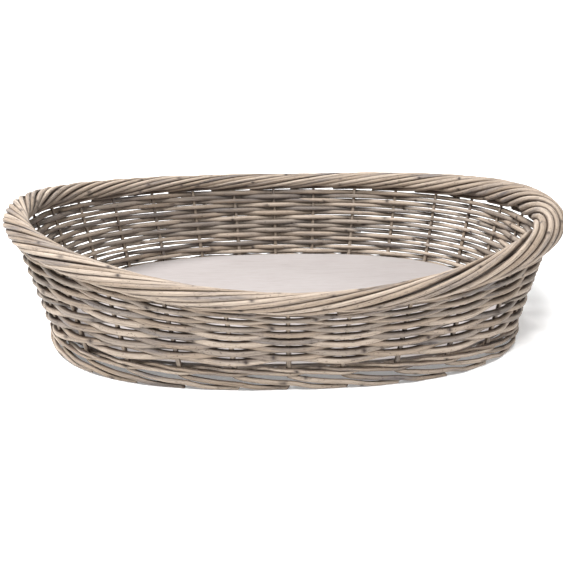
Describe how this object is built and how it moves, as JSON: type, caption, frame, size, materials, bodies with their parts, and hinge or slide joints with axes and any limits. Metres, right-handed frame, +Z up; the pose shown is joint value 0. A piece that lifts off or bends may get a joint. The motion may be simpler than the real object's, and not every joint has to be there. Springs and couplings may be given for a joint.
{
  "type": "wicker pet bed basket",
  "caption": "Low oval willow pet bed with a dipped front, open weave on upright stakes, a thick rolled border, a plywood base on a three-rod wale, and a rod foot.",
  "frame": {"origin": "centre of the basket's outline, on the surface that the foot rods stand on", "axes": "+X along the length to the right as seen from the dipped front, +Y from the dipped front to the higher back, +Z up"},
  "size_m": [0.6996, 0.5003, 0.1714],
  "materials": {
    "willow": "grey-washed peeled willow, matt",
    "grey_willow": "weathered grey willow, matt",
    "board": "pale limewashed plywood, matt"
  },
  "bodies": {
    "root": {"base_board": "board", "wale_rod_1": "willow", "wale_rod_2": "willow", "wale_rod_3": "willow", "weave_row_1": "willow", "weave_row_2": "willow", "weave_row_3": "willow", "weave_row_4": "willow", "weave_row_5": "willow", "weave_row_6": "willow", "weave_row_7": "willow", "weave_row_8": "willow", "weave_row_9": "willow", "weave_row_10": "willow", "weave_row_11": "willow", "weave_row_12": "willow", "weave_row_13": "willow", "packing_rod_1": "grey_willow", "packing_rod_2": "grey_willow", "stakes_right": "grey_willow", "stakes_back": "grey_willow", "stakes_left": "grey_willow", "stakes_front": "grey_willow", "foot_rods_right": "willow", "foot_rods_back": "willow", "foot_rods_left": "willow", "foot_rods_front": "willow", "border_core": "grey_willow", "border_rods_right": "willow", "border_rods_back": "willow", "border_rods_left": "willow", "border_rods_front": "willow"}
  },
  "joints": []
}
